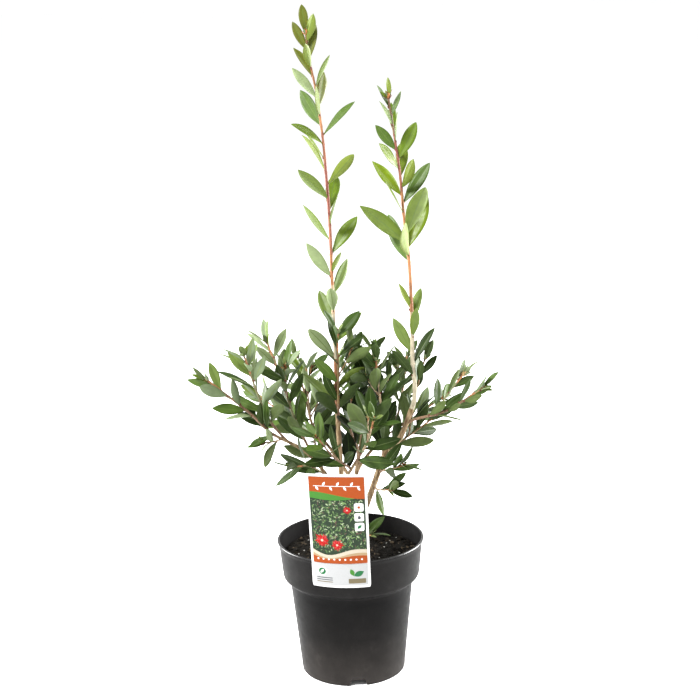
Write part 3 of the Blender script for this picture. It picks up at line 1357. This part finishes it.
def build_tag():
    """Card that leans out over the front of the rim, with a tongue from its back down inside the pot."""
    white = card_look("card_white", CARD_WHITE)
    piece = Piece("picture_tag")
    rings = []
    for i in range(TAG_ROWS + 1):
        height = TAG_BOTTOM + (TAG_TOP - TAG_BOTTOM) * i / TAG_ROWS
        wide = TAG_WIDTH - 2 * TAG_CORNER * (i in (0, TAG_ROWS))
        steps = [wide * (k / TAG_COLUMNS - 0.5) for k in range(TAG_COLUMNS + 1)]
        rings.append([tag_point(across, height, TAG_THICK) for across in steps]
                     + [tag_point(across, height, TAG_BACK) for across in reversed(steps)])
    piece.tube(rings, white)
    bridge = POT_HEIGHT + 2 * GAP
    inner = BAND_TOP_RADIUS - WALL - TONGUE_OFF_WALL
    outer = LIP_RADIUS + TONGUE_REACH
    strip = [(outer, bridge), (inner, bridge), (inner - TONGUE_SLANT, POT_HEIGHT - TONGUE_DEPTH),
             (inner - TONGUE_SLANT - TONGUE_THICK, POT_HEIGHT - TONGUE_DEPTH),
             (inner - TONGUE_THICK, bridge + BRIDGE_THICK), (outer, bridge + BRIDGE_THICK)]
    tongue = []
    for k in range(TONGUE_COLUMNS + 1):
        angle = TONGUE_WIDTH * (k / TONGUE_COLUMNS - 0.5) / LIP_RADIUS + math.radians(TAG_TURN)
        tongue.append([Vector((r * math.sin(angle), -r * math.cos(angle), z)) for r, z in strip])
    piece.tube(tongue, white)
    print_design(partial(add_print, piece))
    piece.finish("printed_card", "tag", sharp=40)


def print_design(show):
    """Generic print: an orange head, a leafy picture with blossoms, three small signs and a pale foot."""
    orange, green, foliage, red, coral, cream, sand, grey, stone, slate, leaf_green, *leaf_inks = (
        card_look(f"ink_{name}", srgb(*tone)) for name, tone in (
            ("orange", (118, 48, 2)), ("green", (45, 92, 28)), ("foliage", (23, 37, 22)),
            ("red", (129, 5, 0)), ("coral", (139, 39, 39)), ("cream", (145, 137, 122)),
            ("sand", (126, 107, 80)),
            ("grey", (135, 136, 136)), ("stone", (84, 76, 56)), ("slate", (50, 53, 56)),
            ("sign_green", (22, 78, 43)), ("leaf_0", (30, 42, 28)), ("leaf_1", (54, 76, 42)),
            ("leaf_2", (84, 108, 64)), ("leaf_3", (124, 136, 108)), ("leaf_4", (70, 52, 46))))
    paper = card_look("ink_paper", CARD_WHITE)

    right = TAG_WIDTH / 2 - PRINT_BORDER
    left = -right
    width = right - left
    top, foot = TAG_TOP - 0.0036, TAG_BOTTOM + 0.0034
    head_low = top - 0.027
    picture_low = foot + 0.056
    band_low = foot + 0.032
    rng = random.Random(12)

    # Picture: leaves in a thicket, and three blossoms
    show([(left, picture_low - 0.012), (right, picture_low - 0.012), (right, head_low + 0.004),
          (left, head_low + 0.004)], 1, foliage)
    for i in range(PRINT_LEAVES):
        x = rng.uniform(left + 0.002, right - 0.002)
        y = rng.uniform(picture_low - 0.006, head_low - 0.001)
        long = rng.uniform(0.0018, 0.0052)
        turn = rng.uniform(0, 6.283)
        x_end, y_end = x + long * math.cos(turn), y + long * math.sin(turn)
        if left < x_end < right and picture_low - 0.01 < y_end < head_low:
            show(petal(x, y, long, long * rng.uniform(0.26, 0.42), turn, 4), 2 + i % 3,
                 rng.choices(leaf_inks, (6, 6, 4, 2, 2))[0])
    for x, y, size in ((left + 0.014, picture_low + 0.009, 0.0115),
                       (left + 0.034, picture_low + 0.003, 0.0095),
                       (right - 0.024, head_low - 0.020, 0.0068)):
        for i in range(BLOSSOM_PETALS):
            long = size * (1.0 - 0.45 * i / BLOSSOM_PETALS) * rng.uniform(0.85, 1.1)
            show(petal(x, y, long, size * 0.20, i * math.radians(GOLDEN_ANGLE), 4), 5 + i // 8,
                 red if rng.random() < 0.65 else coral)
        show(disc(x, y, size * 0.16, 12), 10, cream)

    # Waves below the picture, and the head above it with a sprig on a line
    show(wavy(left, right, band_low, picture_low - 0.004, -0.005, 0.004), 11, cream)
    show(wavy(left, right, band_low, picture_low - 0.009, -0.005, 0.0035), 12, sand)
    show(wavy(left, right, band_low, picture_low - 0.013, -0.003, 0.0025), 13, orange)
    for level, look, edge in (
            (11, green, lambda t: head_low - 0.003 - 0.005 * math.sin(math.pi * t * 0.9) + 0.004 * t),
            (12, orange, lambda t: head_low + 0.001 + 0.005 * math.cos(math.pi * t))):
        wave = [(left + width * i / 14, edge(i / 14)) for i in range(15)]
        show([(left, top), *wave, (right, top)], level, look)
    for k in range(7):
        turn = math.radians(60 if k % 2 else -60)
        show(petal(left + width * (k + 1) / 8, top - 0.013, 0.0070, 0.0030, turn, 7), 13, paper)
    show(soft_box(left + 0.006, top - 0.0134, right - 0.006, top - 0.0126, 0.0003), 14, paper)
    for k in range(9):
        show(disc(left + width * (k + 1) / 10, band_low + 0.006, 0.0013, 14), 14, paper)

    # Signs: a sun, a drop and a leaf
    x = right - 0.0085
    sun, drop, leaf = (head_low - below for below in (0.016, 0.030, 0.044))
    for y in (sun, drop, leaf):
        show(soft_box(x - 0.0062, y - 0.0058, x + 0.0062, y + 0.0058, 0.0022), 6, paper)
    show(disc(x, sun, 0.0019, 18), 7, orange)
    for px, py in disc(0, 0, 0.0024, 8):
        show(petal(x + px, sun + py, 0.0016, 0.0007, math.atan2(py, px), 4), 7, orange)
    around = disc(x, drop - 0.0008, 0.0022, 18)
    show([*around[:4], (x, drop + 0.0036), *around[6:]], 7, slate)
    show(petal(x - 0.0030, leaf - 0.0026, 0.0078, 0.0042, math.radians(42)), 7, leaf_green)

    # Foot: a pale field with two leaves, a round sign, a label and three lines
    show(soft_box(left, foot, right, band_low - 0.0006, 0.0012), 11, grey)
    show(petal(right - 0.019, foot + 0.014, 0.0150, 0.0080, math.radians(24), 10), 12, leaf_green)
    show(petal(right - 0.019, foot + 0.014, 0.0110, 0.0060, math.radians(110), 10), 12, green)
    show(soft_box(right - 0.026, foot + 0.003, right - 0.003, foot + 0.010, 0.0010), 12, stone)
    show(disc(left + 0.012, foot + 0.020, 0.0066, 30), 12, paper)
    show(disc(left + 0.012, foot + 0.020, 0.0050, 26), 14, leaf_green)
    show(petal(left + 0.0093, foot + 0.0170, 0.0080, 0.0034, math.radians(50)), 16, paper)
    for k in range(3):
        low = foot + 0.004 + 0.0030 * k
        show(soft_box(left + 0.004, low, left + 0.026, low + 0.0012, 0.0005), 12, slate if k else stone)


# Stage, light and camera

def build_stage():
    mesh = bpy.data.meshes.new("floor")
    reach = 40.0
    mesh.from_pydata([(-reach, -reach, 0), (reach, -reach, 0), (reach, reach, 0), (-reach, reach, 0)], [],
                     [(0, 1, 2, 3)])
    floor = bpy.data.objects.new("floor", mesh)
    floor.location.z = -0.0002
    bpy.context.scene.collection.objects.link(floor)
    look = Look("pale_floor", 0.9, 0.1)
    look.drive("Base Color", look.ramp(look.noise(1.2, 2), (0.3, 0.955), (0.7, 0.965)))
    mesh.materials.append(look.made)


def area_light(name, place, aim, size, power, colour=(1, 1, 1)):
    lamp = bpy.data.lights.new(name, "AREA")
    lamp.shape = "DISK"
    lamp.size = size
    lamp.energy = power
    lamp.color = colour
    made = bpy.data.objects.new(name, lamp)
    made.location = place
    made.rotation_mode = "QUATERNION"
    made.rotation_quaternion = (Vector(aim) - Vector(place)).to_track_quat("-Z", "Y")
    bpy.context.scene.collection.objects.link(made)


def build_light():
    world = bpy.data.worlds.new("studio")
    world.use_nodes = True
    sky = world.node_tree.nodes["Background"]
    sky.inputs["Color"].default_value = (1, 1, 1, 1)
    sky.inputs["Strength"].default_value = 1.05
    bpy.context.scene.world = world
    area_light("key", (-1.7, -1.9, 3.0), (0, 0, 0.4), 1.0, 290)
    area_light("left_box", (-2.4, 0.9, 0.9), (0, 0, 0.3), 1.8, 200)
    area_light("right_box", (2.4, 0.9, 0.9), (0, 0, 0.3), 1.8, 320)
    bpy.context.scene.view_settings.view_transform = "Standard"


def build_camera():
    pitch, yaw, roll = (math.radians(a) for a in (CAMERA_PITCH, CAMERA_YAW, CAMERA_ROLL))
    ahead = Vector((math.sin(yaw) * math.cos(pitch), math.cos(yaw) * math.cos(pitch), -math.sin(pitch)))
    right = Vector((math.cos(yaw), -math.sin(yaw), 0))
    above = right.cross(ahead)
    level, upright = (right * math.cos(roll) + above * math.sin(roll),
                      above * math.cos(roll) - right * math.sin(roll))
    data = bpy.data.cameras.new("camera")
    data.lens = LENS
    data.sensor_width = SENSOR
    data.clip_start = 0.05
    data.clip_end = 200
    camera = bpy.data.objects.new("camera", data)
    turned_to = Matrix((level, upright, -ahead)).transposed().to_4x4()
    camera.matrix_world = Matrix.Translation(CAMERA_PLACE) @ turned_to
    bpy.context.scene.collection.objects.link(camera)
    bpy.context.scene.camera = camera


build_camera()
build_light()
build_stage()
build_pot()
build_soil()
build_tag()
build_plant()
